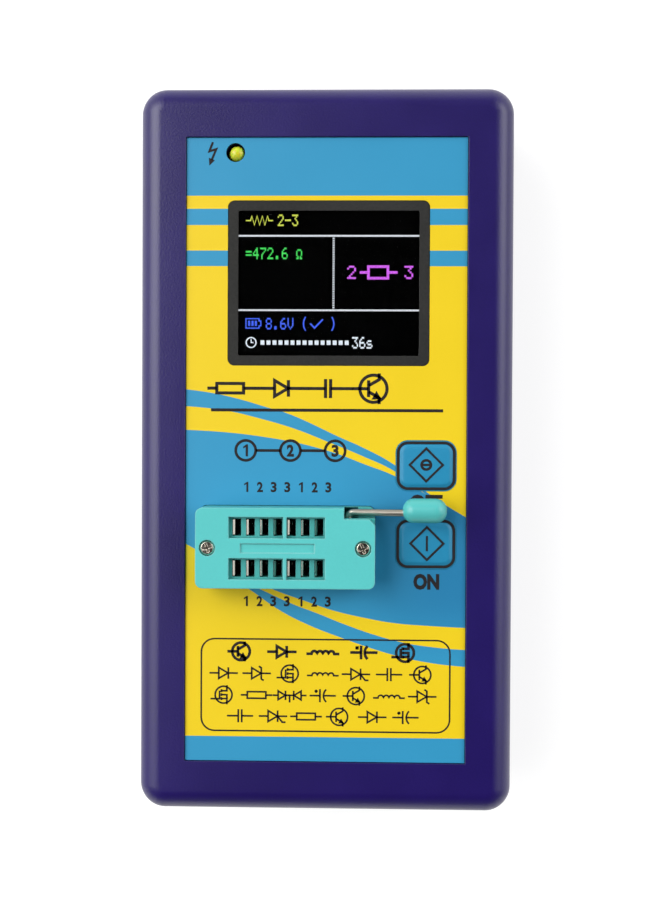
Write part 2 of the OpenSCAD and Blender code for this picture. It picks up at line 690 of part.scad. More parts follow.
module battery_snap() color([0.07, 0.07, 0.07])
    difference() {
        translate([snap_x, battery_y, battery_z + battery_h / 2]) rotate([90, 0, 90])
            linear_extrude(snap_t) rounded_rect(snap_w, snap_h, snap_r);
        for (t = [[-terminal_y, 2.9], [terminal_y, 4]])
            translate([snap_x - over, battery_y + t[0], battery_z + battery_h / 2]) rotate([0, 90, 0])
                cylinder(r = t[1] + fit, h = terminal_h + over - 0.1, $fn = round_fn);
    }

// Insulated lead from the snap through the bay wall to the board
module lead(start_z, end_x) {
    sides = 8;
    steps = 14;
    start = [lead_x, battery_y + snap_w / 2, start_z];
    end = [end_x, board_low + 4, board_bottom];
    route = [start, start + [0, 8, 0], end - [0, 0, 8], end];
    ring_at = function (i)
        let (along = curve_along(route, i / steps),
             across = cross(along, [1, 0, 0]) / norm(cross(along, [1, 0, 0])),
             other = cross(along, across))
        [for (k = [0 : sides - 1]) curve(route, i / steps)
            + lead_r * (cos(360 * k / sides) * across + sin(360 * k / sides) * other)];
    points = [for (i = [0 : steps]) each ring_at(i)];
    walls = [for (i = [0 : steps - 1], k = [0 : sides - 1])
        let (a = i * sides, n = (k + 1) % sides) [a + k, a + n, a + sides + n, a + sides + k]];
    polyhedron(points, concat([[for (k = [sides - 1 : -1 : 0]) k]], walls,
        [[for (k = [0 : sides - 1]) steps * sides + k]]));
}

module red_lead() color([0.75, 0.08, 0.06]) lead(battery_z + battery_h / 2 + lead_step, boss_x - lead_step);
module black_lead() color([0.07, 0.07, 0.07]) lead(battery_z + battery_h / 2 - lead_step / 3, boss_x - 2 * lead_step);

module board_screws() color(nickel)
    for (p = bosses) {
        post(p, board_screw_r, board_bottom - 0.2, roof_in - 1);
        post(p, 1.9, board_bottom - 1.3, board_bottom);
    }

module case_screws() color(nickel)
    for (p = pillars) difference() {
        union() {
            post(p, screw_r, screw_head_z + 1, split_z + 8);
            post(p, screw_head_r, screw_head_z, screw_head_z + screw_head_t);
        }
        for (a = [0, 90])
            translate([p[0], p[1], screw_head_z]) rotate(a + 30) cube([3.4, 0.7, 1.8], center = true);
    }

front_shell();
rear_shell();
battery_door();
front_film();
display_bezel();
display_window();
display_module();
display_pad();
display_ribbon();
off_key();
test_key();
off_plunger();
test_plunger();
key_switches();
indicator_lamp();
socket_base();
socket_slider();
socket_cover();
upper_contacts();
lower_contacts();
socket_screws();
socket_lever();
lever_knob();
main_board();
microcontroller();
crystal();
voltage_regulator();
capacitors();
resistors();
battery();
battery_snap();
red_lead();
black_lead();
board_screws();
case_screws();
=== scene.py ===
import math
import bmesh
import bpy
import numpy as np
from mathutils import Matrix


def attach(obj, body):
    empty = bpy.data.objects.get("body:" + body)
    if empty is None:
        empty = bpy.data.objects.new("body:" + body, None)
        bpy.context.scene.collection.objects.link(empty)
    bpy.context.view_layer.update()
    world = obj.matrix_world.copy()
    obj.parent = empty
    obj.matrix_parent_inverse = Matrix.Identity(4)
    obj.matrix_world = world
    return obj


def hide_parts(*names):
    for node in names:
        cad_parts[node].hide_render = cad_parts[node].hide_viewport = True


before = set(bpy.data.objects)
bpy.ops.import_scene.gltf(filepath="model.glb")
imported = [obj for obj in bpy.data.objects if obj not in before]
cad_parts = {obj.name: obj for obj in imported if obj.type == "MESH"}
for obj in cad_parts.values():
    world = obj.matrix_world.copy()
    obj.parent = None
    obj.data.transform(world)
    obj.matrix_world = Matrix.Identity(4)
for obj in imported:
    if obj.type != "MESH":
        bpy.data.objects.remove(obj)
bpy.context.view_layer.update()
scene = bpy.context.scene
scene.view_settings.view_transform = "Standard"


# The camera stands a hand's breadth above the front panel and looks almost straight down at it,
# turned by a fraction of a degree, as a copy stand holds it over an object lying on a table.
sight = bpy.data.cameras.new("camera")
sight.sensor_fit = "HORIZONTAL"
sight.sensor_width = 36
sight.lens = 66.58
sight.clip_start = 0.01
camera = bpy.data.objects.new("camera", sight)
camera.location = (0.007115, 0.003079, 0.25807)
camera.rotation_euler = [math.radians(a) for a in (-0.73, 1.56, 0.272)]
scene.collection.objects.link(camera)
scene.camera = camera


# The table is a wide matt white board. It takes the tester's soft shadow, and it adds a little
# light of its own for what looks at it directly, so that it shows as paper white.
def new_finish(name, colour, roughness, metallic=0.0):
    """A material with one Principled shader, and the node tree and shader to build on."""
    finish = bpy.data.materials.new(name)
    finish.use_nodes = True
    shader = finish.node_tree.nodes["Principled BSDF"]
    shader.inputs["Base Color"].default_value = (*colour, 1)
    shader.inputs["Roughness"].default_value = roughness
    shader.inputs["Metallic"].default_value = metallic
    return finish, finish.node_tree, shader


def arithmetic(tree, operation, first, second):
    """A Math node whose two sides are sockets or plain numbers."""
    node = tree.nodes.new("ShaderNodeMath")
    node.operation = operation
    for side, value in enumerate((first, second)):
        if isinstance(value, (int, float)):
            node.inputs[side].default_value = value
        else:
            tree.links.new(value, node.inputs[side])
    return node.outputs[0]


table_half = 15.0
table_mesh = bpy.data.meshes.new("table")
table_mesh.from_pydata([(x * table_half, y * table_half, -0.0001)
                        for x, y in ((-1, -1), (1, -1), (1, 1), (-1, 1))], [], [(0, 1, 2, 3)])
table = bpy.data.objects.new("table", table_mesh)
scene.collection.objects.link(table)
board_white, tree, shader = new_finish("table white", (0.32, 0.32, 0.32), 0.9)
seen = tree.nodes.new("ShaderNodeLightPath")
direct = arithmetic(tree, "MAXIMUM", seen.outputs["Is Camera Ray"], seen.outputs["Is Glossy Ray"])
direct = arithmetic(tree, "MAXIMUM", direct, seen.outputs["Is Transmission Ray"])
glow = arithmetic(tree, "MULTIPLY", direct, 0.8)
shader.inputs["Emission Color"].default_value = (1, 1, 1, 1)
tree.links.new(glow, shader.inputs["Emission Strength"])
table.data.materials.append(board_white)


# The studio is a soft tent that is dark straight above, where the camera looks out. A bright panel
# stands at its left, a weaker one at its right, a low dim one at the far end, and a faint one all
# round.
sky = bpy.data.worlds.new("tent")
scene.world = sky
sky.use_nodes = True
tree = sky.node_tree
ray = tree.nodes.new("ShaderNodeSeparateXYZ")
tree.links.new(tree.nodes.new("ShaderNodeTexCoord").outputs["Generated"], ray.inputs[0])


def fade(part, start, end):
    """How far a part of the ray's direction has gone from start to end, as a smooth step from 0 to 1."""
    node = tree.nodes.new("ShaderNodeMapRange")
    node.interpolation_type = "SMOOTHSTEP"
    node.inputs["From Min"].default_value = start
    node.inputs["From Max"].default_value = end
    tree.links.new(ray.outputs[part], node.inputs["Value"])
    return node.outputs[0]


def panel(strength, *fades):
    """A lit panel of the tent: the product of its fades, times its strength."""
    lit_part = strength
    for share in fades:
        lit_part = arithmetic(tree, "MULTIPLY", share, lit_part)
    return lit_part


left_wall = panel(5.6, fade("X", -0.1, -0.45), fade("Z", 0.0, 0.75), fade("Z", 0.99, 0.89),
                  fade("Y", -0.6, 0.35), fade("Y", 0.9, 0.3))
right_wall = panel(4.0, fade("X", 0.1, 0.5), fade("Z", 0.0, 0.5), fade("Z", 0.95, 0.6),
                   fade("Y", -0.5, 0.35), fade("Y", 0.8, 0.3))
far_wall = panel(0.8, fade("Z", 0.75, 0.1), fade("Y", 0.1, 0.8))
all_round = panel(0.24, fade("Z", 0.86, 0.3))
glow = 0.003
for part in (left_wall, right_wall, far_wall, all_round):
    glow = arithmetic(tree, "ADD", part, glow)
seen = tree.nodes.new("ShaderNodeLightPath")
direct = arithmetic(tree, "MAXIMUM", seen.outputs["Is Camera Ray"], seen.outputs["Is Glossy Ray"])
direct = arithmetic(tree, "MAXIMUM", direct, seen.outputs["Is Transmission Ray"])
skyline = arithmetic(tree, "MULTIPLY", fade("Z", 0.2, 0.08), direct)
glow = arithmetic(tree, "MAXIMUM", glow, skyline)
glow = arithmetic(tree, "MAXIMUM", glow, seen.outputs["Is Camera Ray"])
backdrop = tree.nodes["Background"]
backdrop.inputs["Color"].default_value = (1, 1, 1, 1)
tree.links.new(glow, backdrop.inputs["Strength"])


# The case is two injection moulded halves and a sliding battery door, all in one indigo ABS with
# a fine spark-eroded grain. The halves meet at a straight joint line, which shows as a thin groove,
# and four screws hold them.
def start_group(name, inputs, outputs):
    """An empty shader node group with named inputs, each with its usual value, and outputs."""
    group = bpy.data.node_groups.new(name, "ShaderNodeTree")
    for label, kind, value in inputs:
        socket = group.interface.new_socket(label, in_out="INPUT", socket_type=kind)
        socket.default_value = value
    for label, kind in outputs:
        group.interface.new_socket(label, in_out="OUTPUT", socket_type=kind)
    return group, group.nodes.new("NodeGroupInput"), group.nodes.new("NodeGroupOutput")


def noise(tree, vector, scale, detail):
    """A noise texture's value at a vector, with its scale a socket or a number."""
    node = tree.nodes.new("ShaderNodeTexNoise")
    node.inputs["Detail"].default_value = detail
    tree.links.new(vector, node.inputs["Vector"])
    if isinstance(scale, (int, float)):
        node.inputs["Scale"].default_value = scale
    else:
        tree.links.new(scale, node.inputs["Scale"])
    return node.outputs[0]


def place_group(tree, group, **values):
    """A copy of a group in a material's tree, with its inputs set from sockets, colours or numbers."""
    node = tree.nodes.new("ShaderNodeGroup")
    node.node_tree = group
    for label, value in values.items():
        socket = node.inputs[label.replace("_", " ")]
        if isinstance(value, bpy.types.NodeSocket):
            tree.links.new(value, socket)
        else:
            socket.default_value = value
    return node


# Grain: the surface's small pits as a height, with cloudy changes of tone and gloss over it
grain_group, entry, leave = start_group(
    "moulded grain",
    [("Colour", "NodeSocketColor", (0.5, 0.5, 0.5, 1)), ("Fineness", "NodeSocketFloat", 4000.0),
     ("Mottle", "NodeSocketFloat", 0.1), ("Gloss loss", "NodeSocketFloat", 0.45)],
    [("Colour", "NodeSocketColor"), ("Roughness", "NodeSocketFloat"), ("Height", "NodeSocketFloat")])
spot = grain_group.nodes.new("ShaderNodeTexCoord").outputs["Object"]
pits = noise(grain_group, spot, entry.outputs["Fineness"], 3.0)
clouds = noise(grain_group, spot, 90.0, 4.0)
shift = arithmetic(grain_group, "SUBTRACT", clouds, 0.5)
shift = arithmetic(grain_group, "ADD", shift, arithmetic(grain_group, "SUBTRACT", pits, 0.5))
shift = arithmetic(grain_group, "MULTIPLY", shift, entry.outputs["Mottle"])
tone = arithmetic(grain_group, "ADD", shift, 1.0)
toned = grain_group.nodes.new("ShaderNodeVectorMath")
toned.operation = "SCALE"
grain_group.links.new(entry.outputs["Colour"], toned.inputs[0])
grain_group.links.new(tone, toned.inputs["Scale"])
grain_group.links.new(toned.outputs[0], leave.inputs["Colour"])
gloss = arithmetic(grain_group, "MULTIPLY", arithmetic(grain_group, "SUBTRACT", clouds, 0.5), 0.06)
gloss = arithmetic(grain_group, "ADD", gloss, entry.outputs["Gloss loss"])
grain_group.links.new(gloss, leave.inputs["Roughness"])
grain_group.links.new(pits, leave.inputs["Height"])

# Corners: the normal of a slightly rounded corner, and a mask of where such corners are
corner_group, entry, leave = start_group(
    "rounded corners", [("Radius", "NodeSocketFloat", 0.0001)],
    [("Normal", "NodeSocketVector"), ("Corner", "NodeSocketFloat")])
rounding = corner_group.nodes.new("ShaderNodeBevel")
rounding.samples = 5
corner_group.links.new(entry.outputs["Radius"], rounding.inputs["Radius"])
flat = corner_group.nodes.new("ShaderNodeNewGeometry")
turned = corner_group.nodes.new("ShaderNodeVectorMath")
turned.operation = "DOT_PRODUCT"
corner_group.links.new(rounding.outputs[0], turned.inputs[0])
corner_group.links.new(flat.outputs["Normal"], turned.inputs[1])
bent = arithmetic(corner_group, "SUBTRACT", 1.0, turned.outputs["Value"])
bent = arithmetic(corner_group, "MINIMUM", arithmetic(corner_group, "MULTIPLY", bent, 5.0), 1.0)
corner_group.links.new(rounding.outputs[0], leave.inputs["Normal"])
corner_group.links.new(bent, leave.inputs["Corner"])


def moulded(name, colour, roughness, fineness, relief, mottle=0.12, corner=0.00012, painted_highlight=0.2):
    """A moulded plastic: its colour changes softly, its grain is a bump and its corners are painted paler
    as a highlight.
    """
    finish, tree, shader = new_finish(name, colour, roughness)
    grain = place_group(tree, grain_group, Colour=(*colour, 1), Fineness=fineness, Mottle=mottle,
                        Gloss_loss=roughness)
    edges = place_group(tree, corner_group, Radius=corner)
    # Painted highlight: the corner mask mixes the colour towards a paler one, like the light a rounded edge
    # catches
    highlit_corners = tree.nodes.new("ShaderNodeMix")
    highlit_corners.data_type = "RGBA"
    highlit_corners.inputs["B"].default_value = (*[c + (1 - c) * 0.35 for c in colour], 1)
    tree.links.new(arithmetic(tree, "MULTIPLY", edges.outputs["Corner"], painted_highlight), highlit_corners.inputs["Factor"])
    tree.links.new(grain.outputs["Colour"], highlit_corners.inputs["A"])
    tree.links.new(highlit_corners.outputs["Result"], shader.inputs["Base Color"])
    tree.links.new(grain.outputs["Roughness"], shader.inputs["Roughness"])
    bump = tree.nodes.new("ShaderNodeBump")
    bump.inputs["Strength"].default_value = relief
    bump.inputs["Distance"].default_value = 0.00005
    tree.links.new(grain.outputs["Height"], bump.inputs["Height"])
    tree.links.new(edges.outputs["Normal"], bump.inputs["Normal"])
    tree.links.new(bump.outputs[0], shader.inputs["Normal"])
    return finish


def smooth_copy(node, name, body, finish):
    """A node's mesh with its loose triangles joined, flat faces flat and curved ones shaded round."""
    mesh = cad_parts[node].data.copy()
    work = bmesh.new()
    work.from_mesh(mesh)
    bmesh.ops.remove_doubles(work, verts=work.verts, dist=1e-6)
    work.to_mesh(mesh)
    work.free()
    if mesh.attributes.get("custom_normal"):
        mesh.attributes.remove(mesh.attributes["custom_normal"])
    mesh.shade_smooth()
    mesh.set_sharp_from_angle(angle=math.radians(25))
    mesh.materials.clear()
    mesh.materials.append(finish)
    piece = bpy.data.objects.new(name, mesh)
    scene.collection.objects.link(piece)
    shading = piece.modifiers.new("flat faces", "WEIGHTED_NORMAL")
    shading.keep_sharp = True
    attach(piece, body)
    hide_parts(node)
    return piece


joint_z = 0.0125
groove_half, groove_blend = 0.00006, 0.0002
indigo = moulded("indigo case plastic", (0.0115, 0.0035, 0.103), 0.32, 2700.0, 0.62, mottle=0.4,
                 corner=0.00025, painted_highlight=0.06)
tree = indigo.node_tree
shader = tree.nodes["Principled BSDF"]
shader.inputs["Specular IOR Level"].default_value = 0.6
up = tree.nodes.new("ShaderNodeSeparateXYZ")
tree.links.new(tree.nodes.new("ShaderNodeTexCoord").outputs["Object"], up.inputs[0])
flush = tree.nodes.new("ShaderNodeMapRange")
flush.interpolation_type = "SMOOTHSTEP"
flush.inputs["From Min"].default_value = groove_half
flush.inputs["From Max"].default_value = groove_blend
away = arithmetic(tree, "ABSOLUTE", arithmetic(tree, "SUBTRACT", up.outputs["Z"], joint_z), 0.0)
tree.links.new(away, flush.inputs["Value"])
seam = tree.nodes.new("ShaderNodeMix")
seam.data_type = "RGBA"
seam.inputs["A"].default_value = (0.004, 0.002, 0.02, 1)
tree.links.new(flush.outputs[0], seam.inputs["Factor"])
tree.links.new(shader.inputs["Base Color"].links[0].from_socket, seam.inputs["B"])
tree.links.new(seam.outputs["Result"], shader.inputs["Base Color"])
groove = tree.nodes.new("ShaderNodeBump")
groove.inputs["Strength"].default_value = 0.8
groove.inputs["Distance"].default_value = 0.00012
tree.links.new(flush.outputs[0], groove.inputs["Height"])
tree.links.new(shader.inputs["Normal"].links[0].from_socket, groove.inputs["Normal"])
tree.links.new(groove.outputs[0], shader.inputs["Normal"])
smooth_copy("rear_shell", "back_half", "case", indigo)
smooth_copy("front_shell", "front_half", "case", indigo)
smooth_copy("battery_door", "sliding_door", "door", indigo)


# The circuit board is green glass-epoxy laminate. Under its mask the copper tracks show as
# paler lines, and it hangs from the front half on four bosses.
def dress(finish, *nodes):
    """Gives solid nodes of the frame a finish."""
    for node in nodes:
        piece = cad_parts[node]
        if piece.material_slots:
            piece.material_slots[0].material = finish
        else:
            piece.data.materials.append(finish)


mask_green, tree, shader = new_finish("solder mask", (0.01, 0.12, 0.04), 0.3)
spot = tree.nodes.new("ShaderNodeTexCoord").outputs["Object"]
tracks = tree.nodes.new("ShaderNodeTexBrick")
tracks.inputs["Scale"].default_value = 260.0
tracks.inputs["Mortar Size"].default_value = 0.07
tracks.inputs["Color1"].default_value = (0.008, 0.10, 0.035, 1)
tracks.inputs["Color2"].default_value = (0.012, 0.14, 0.045, 1)
tracks.inputs["Mortar"].default_value = (0.03, 0.24, 0.07, 1)
tree.links.new(spot, tracks.inputs["Vector"])
tree.links.new(tracks.outputs["Color"], shader.inputs["Base Color"])
weave = tree.nodes.new("ShaderNodeBump")
weave.inputs["Strength"].default_value = 0.3
weave.inputs["Distance"].default_value = 0.00003
tree.links.new(tracks.outputs["Fac"], weave.inputs["Height"])
tree.links.new(weave.outputs[0], shader.inputs["Normal"])
dress(mask_green, "main_board")


# Under the board sit a square microcontroller, a regulator and small resistors, all in black
# moulded resin, soldered by their legs or ends.
resin = moulded("black chip resin", (0.012, 0.012, 0.013), 0.55, 9000.0, 0.3, corner=0.00008)
dress(resin, "microcontroller", "voltage_regulator", "resistors")


# The crystal is a drawn can of nickel plated steel. The capacitors are aluminium cans in a
# shrunk dark blue sleeve, and stand head down.
metal_group, entry, leave = start_group(
    "drawn metal",
    [("Colour", "NodeSocketColor", (0.6, 0.6, 0.6, 1)), ("Fineness", "NodeSocketFloat", 3000.0),
     ("Stretch", "NodeSocketVector", (1.0, 1.0, 1.0)), ("Gloss loss", "NodeSocketFloat", 0.25)],
    [("Colour", "NodeSocketColor"), ("Roughness", "NodeSocketFloat"), ("Height", "NodeSocketFloat")])
spot = metal_group.nodes.new("ShaderNodeTexCoord").outputs["Object"]
drawn = metal_group.nodes.new("ShaderNodeVectorMath")
drawn.operation = "MULTIPLY"
metal_group.links.new(spot, drawn.inputs[0])
metal_group.links.new(entry.outputs["Stretch"], drawn.inputs[1])
lines = noise(metal_group, drawn.outputs[0], entry.outputs["Fineness"], 2.0)
stains = noise(metal_group, spot, 700.0, 3.0)
tone = arithmetic(metal_group, "ADD", arithmetic(metal_group, "MULTIPLY", stains, 0.4), 0.8)
toned = metal_group.nodes.new("ShaderNodeVectorMath")
toned.operation = "SCALE"
metal_group.links.new(entry.outputs["Colour"], toned.inputs[0])
metal_group.links.new(tone, toned.inputs["Scale"])
metal_group.links.new(toned.outputs[0], leave.inputs["Colour"])
gloss = arithmetic(metal_group, "MULTIPLY", arithmetic(metal_group, "SUBTRACT", lines, 0.5), 0.16)
gloss = arithmetic(metal_group, "ADD", gloss, entry.outputs["Gloss loss"])
metal_group.links.new(gloss, leave.inputs["Roughness"])
metal_group.links.new(lines, leave.inputs["Height"])


def plated(name, colour, roughness, fineness, stretch, relief, corner=0.0001):
    """A plated metal whose drawing or rolling lines run along the axis with the smallest stretch."""
    finish, tree, shader = new_finish(name, colour, roughness, 1.0)
    lines = place_group(tree, metal_group, Colour=(*colour, 1), Fineness=fineness, Stretch=stretch,
                        Gloss_loss=roughness)
    edges = place_group(tree, corner_group, Radius=corner)
    tree.links.new(lines.outputs["Colour"], shader.inputs["Base Color"])
    tree.links.new(lines.outputs["Roughness"], shader.inputs["Roughness"])
    bump = tree.nodes.new("ShaderNodeBump")
    bump.inputs["Strength"].default_value = relief
    bump.inputs["Distance"].default_value = 0.00003
    tree.links.new(lines.outputs["Height"], bump.inputs["Height"])
    tree.links.new(edges.outputs["Normal"], bump.inputs["Normal"])
    tree.links.new(bump.outputs[0], shader.inputs["Normal"])
    return finish


dress(plated("crystal can", (0.62, 0.6, 0.56), 0.28, 4000.0, (1, 0.1, 1), 0.2), "crystal")
dress(moulded("capacitor sleeve", (0.02, 0.025, 0.1), 0.25, 2500.0, 0.1, mottle=0.2), "capacitors")


# Two tactile switches stand under the keys: a black body with a round button that the key
# pushes down.
jet = moulded("black moulding", (0.016, 0.016, 0.017), 0.5, 5000.0, 0.2)
dress(jet, "off_plunger", "test_plunger")
dress(plated("switch cover", (0.5, 0.5, 0.5), 0.35, 5000.0, (1, 0.2, 1), 0.2), "key_switches")


# The battery is a 9 V block in a plain printed steel jacket. Its snap is soft black vinyl, with
# one red and one black stranded lead to the board.
dress(moulded("battery jacket", (0.035, 0.036, 0.042), 0.3, 1500.0, 0.1, mottle=0.25), "battery")
dress(jet, "battery_snap")
dress(moulded("red lead", (0.5, 0.012, 0.01), 0.4, 2500.0, 0.15), "red_lead")
dress(moulded("black lead", (0.012, 0.012, 0.012), 0.4, 2500.0, 0.15), "black_lead")


# The display is a colour liquid crystal module: black glass on foam, with an amber flexible
# circuit folded under its right side.
dress(moulded("display glass", (0.0008, 0.0009, 0.001), 0.1, 1500.0, 0.0, mottle=0.3), "display_module")
dress(moulded("white foam", (0.8, 0.8, 0.77), 0.9, 1800.0, 1.0), "display_pad")
dress(moulded("amber flexible circuit", (0.5, 0.22, 0.04), 0.25, 1200.0, 0.1, mottle=0.4), "display_ribbon")


# The window is a plate of clear polished acrylic. It is dropped into the frame over the display,
# and its face carries a faint smear.
clear, tree, shader = new_finish("clear window", (1, 1, 1), 0.03)
shader.inputs["Transmission Weight"].default_value = 1.0
shader.inputs["IOR"].default_value = 1.49
smear = noise(tree, tree.nodes.new("ShaderNodeTexCoord").outputs["Object"], 160.0, 3.0)
smear = arithmetic(tree, "ADD", arithmetic(tree, "MULTIPLY", smear, 0.02), 0.002)
tree.links.new(smear, shader.inputs["Roughness"])
dress(clear, "display_window")


# The frame round the window is dark grey plastic with a coarse matt grain, glued to the panel
# over the display opening.
frame_grey = moulded("dark grey frame", (0.021, 0.021, 0.0195), 0.6, 2400.0, 1.0, mottle=0.9,
                     painted_highlight=0.12)
frame_grey.node_tree.nodes["Principled BSDF"].inputs["Specular IOR Level"].default_value = 0.25
dress(frame_grey, "display_bezel")


# The picture on the display is lit dots: rules, numbers in a five by seven dot face, and plain
# signs. Each dot is a small flat cell just above the black glass.
def rings_mesh(rings, closed):
    """Skins a row of equal loops: loop i joins loop i+1 point by point. The last joins the first if
    closed, and otherwise both end loops are filled."""
    rings = np.asarray(rings, float)
    count, around = rings.shape[:2]
    index = np.arange(count * around).reshape(count, around)
    upper = index if closed else index[:-1]
    lower = np.roll(index, -1, 0) if closed else index[1:]
    quads = np.stack([upper, np.roll(upper, -1, 1), np.roll(lower, -1, 1), lower], -1).reshape(-1, 4)
    faces = quads.tolist()
    if not closed:
        faces += [index[0][::-1].tolist(), index[-1].tolist()]
    return rings.reshape(-1, 3), faces


def join_meshes(name, parts, finish, body, smooth=None):
    """One piece from several sets of points and faces, with doubles merged and faces turned outwards."""
    points, faces, start = [], [], 0
    for corner_points, corner_faces in parts:
        points.append(corner_points)
        faces += [[start + i for i in face] for face in corner_faces]
        start += len(corner_points)
    mesh = bpy.data.meshes.new(name)
    mesh.from_pydata((np.concatenate(points) * 0.001).tolist(), [], faces)
    work = bmesh.new()
    work.from_mesh(mesh)
    bmesh.ops.remove_doubles(work, verts=work.verts, dist=1e-8)
    bmesh.ops.recalc_face_normals(work, faces=work.faces)
    work.to_mesh(mesh)
    work.free()
    if smooth:
        mesh.shade_smooth()
        mesh.set_sharp_from_angle(angle=math.radians(smooth))
    mesh.materials.append(finish)
    piece = bpy.data.objects.new(name, mesh)
    scene.collection.objects.link(piece)
    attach(piece, body)
    return piece


def stroke(path, width, low, high, closed=False):
    """A flat line of even width: each point moves to both sides along the mean of its two neighbours'
    normals, stretched so that the width holds round corners; then the strip gets its thickness."""
    line = np.asarray(path, float)
    ahead = np.roll(line, -1, 0) - line
    behind = line - np.roll(line, 1, 0)
    if not closed:
        ahead[-1] = behind[-1]
        behind[0] = ahead[0]
    ahead /= np.linalg.norm(ahead, axis=1)[:, None]
    behind /= np.linalg.norm(behind, axis=1)[:, None]
    side = np.stack([-ahead[:, 1], ahead[:, 0]], 1)
    mean = side + np.stack([-behind[:, 1], behind[:, 0]], 1)
    mean *= (width / 2) / np.maximum((mean * side).sum(1), 0.35)[:, None]
    left, right = line + mean, line - mean
    tall = np.ones(len(line))[:, None]
    loop = [np.hstack([left, tall * high]), np.hstack([right, tall * high]),
            np.hstack([right, tall * low]), np.hstack([left, tall * low])]
    return rings_mesh(np.stack(loop, 1), closed)


def circle(x, y, r, start=0.0, end=360.0, steps=40):
    """Points of an arc about (x, y); a full turn leaves out the last point, which is the first again."""
    turns = np.radians(np.linspace(start, end, steps, endpoint=abs(end - start) < 360))
    return np.stack([x + r * np.cos(turns), y + r * np.sin(turns)], 1)


dot_face = {
    "0": "0E11131519110E", "1": "040C040404040E", "2": "0E11010204081F", "3": "1F02040201110E",
    "4": "02060A121F0202", "6": "0608101E11110E", "7": "1F010204080808", "8": "0E11110E11110E",
    "9": "0E11110F01020C", ".": "00000000000C0C", "=": "00001F001F0000", "V": "11111111110A04",
    "o": "000E1111110A1B", "s": "00000E100E011E", "-": "0000001F000000", " ": "00000000000000"}
glass_z = 24.41
cell_t = 0.02
dot = 0.225


def dots(text, x, y, pitch=1.38, tall=2.2, wide=dot):
    """Numbers in the five by seven dot face, from their lower left corner: a flat cell for each lit dot."""
    cells = []
    for place, sign in enumerate(text):
        rows = bytes.fromhex(dot_face[sign])
        for row, bits in enumerate(rows):
            for column in range(5):
                if bits >> (4 - column) & 1:
                    left = x + place * pitch + column * wide
                    top = y + tall - row * tall / 7
                    cells.append(stroke([(left, top - tall / 14), (left + wide * 1.05, top - tall / 14)],
                                        tall / 7 * 1.02, glass_z, glass_z + cell_t))
    return cells


def lit(name, colour, strength):
    """Light from a display dot: the colour it glows in, broken up a little as by the dots' own grid."""
    finish, tree, shader = new_finish(name, (0.0, 0.0, 0.0), 0.6)
    spot = tree.nodes.new("ShaderNodeTexCoord").outputs["Object"]
    flicker = noise(tree, spot, 5200.0, 0.0)
    ramp = tree.nodes.new("ShaderNodeVectorMath")
    ramp.operation = "SCALE"
    ramp.inputs[0].default_value = colour
    tree.links.new(arithmetic(tree, "ADD", flicker, 0.5), ramp.inputs["Scale"])
    tree.links.new(ramp.outputs[0], shader.inputs["Emission Color"])
    shader.inputs["Emission Strength"].default_value = strength
    return finish


rule = (glass_z, glass_z + cell_t)
white_rules = [stroke([(-17.05, 40.9), (17.9, 40.9)], 0.33, *rule),
               stroke([(-17.0, 26.73), (17.9, 26.73)], 0.33, *rule)]
white_rules += [stroke([(1.3, y), (1.3, y + 0.26)], 0.4, *rule) for y in np.arange(27.1, 40.6, 0.44)]
join_meshes("display_rules", white_rules, lit("white dots", (0.80, 0.85, 0.92), 0.9),
            "case")
zigzag = [(-15.5, 43.8), (-14.6, 43.8)]
zigzag += [(-14.35 + 0.5 * i, 43.8 + (0.85 if i % 2 == 0 else -0.85)) for i in range(7)]
zigzag += [(-11.1, 43.8), (-10.3, 43.8)]
first_row = [stroke(zigzag, 0.24, *rule)] + dots("2-3", -9.4, 42.75)
join_meshes("display_sign", first_row, lit("yellow green dots", (0.62, 0.70, 0.08), 1.0),
            "case")
join_meshes("display_value", dots("=472.6 o", -15.5, 36.45), lit("green dots", (0.05, 0.72, 0.10), 1.0),
            "case")
box = [(7.95, 32.85), (11.65, 32.85), (11.65, 35.05), (7.95, 35.05)]
terminals = dots("2", 3.9, 32.7, tall=2.5, wide=0.33) + dots("3", 14.8, 32.7, tall=2.5, wide=0.33)
terminals += [stroke(box, 0.5, *rule, closed=True), stroke([(6.3, 33.95), (7.8, 33.95)], 0.5, *rule),
              stroke([(11.8, 33.95), (13.5, 33.95)], 0.5, *rule)]
join_meshes("display_part", terminals, lit("magenta dots", (0.66, 0.12, 0.88), 1.0),
            "case")
cell = [(-15.4, 23.3), (-12.9, 23.3), (-12.9, 23.75), (-12.55, 23.75), (-12.55, 24.65), (-12.9, 24.65),
        (-12.9, 25.1), (-15.4, 25.1)]
charge = [stroke(cell, 0.22, *rule, closed=True)] + dots("8.6V", -11.6, 23.05)
charge += [stroke([(x, 23.7), (x, 24.7)], 0.42, *rule) for x in (-14.8, -14.15, -13.5)]
charge += [stroke([(-3.1, 24.2), (-2.3, 23.35), (-0.7, 25.0)], 0.3, *rule),
           stroke(circle(-2.1, 24.15, 2.3, 145, 215, 9), 0.26, *rule),
           stroke(circle(-0.9, 24.15, 2.3, 35, -35, 9), 0.26, *rule)]
join_meshes("display_charge", charge, lit("blue dots", (0.05, 0.13, 0.95), 1.0), "case")
clock = [stroke(circle(-14.4, 20.55, 0.95, steps=20), 0.24, *rule, closed=True),
         stroke([(-14.4, 21.2), (-14.4, 20.55), (-13.95, 20.55)], 0.2, *rule)]
clock += [stroke([(x, 20.55), (x + 0.75, 20.55)], 0.85, *rule) for x in np.arange(-12.6, 3.8, 1.15)]
clock += dots("36s", 4.9, 19.45)
join_meshes("display_time", clock, lit("pale dots", (0.74, 0.82, 0.90), 1.05), "case")


# The front panel is a polycarbonate film, printed from behind in yellow and sky blue with swept
# bands, with a velvet face. It is glued into the case's recess and has cut openings.
field_w, field_l = 0.0532, 0.1184
film_z = 26.6
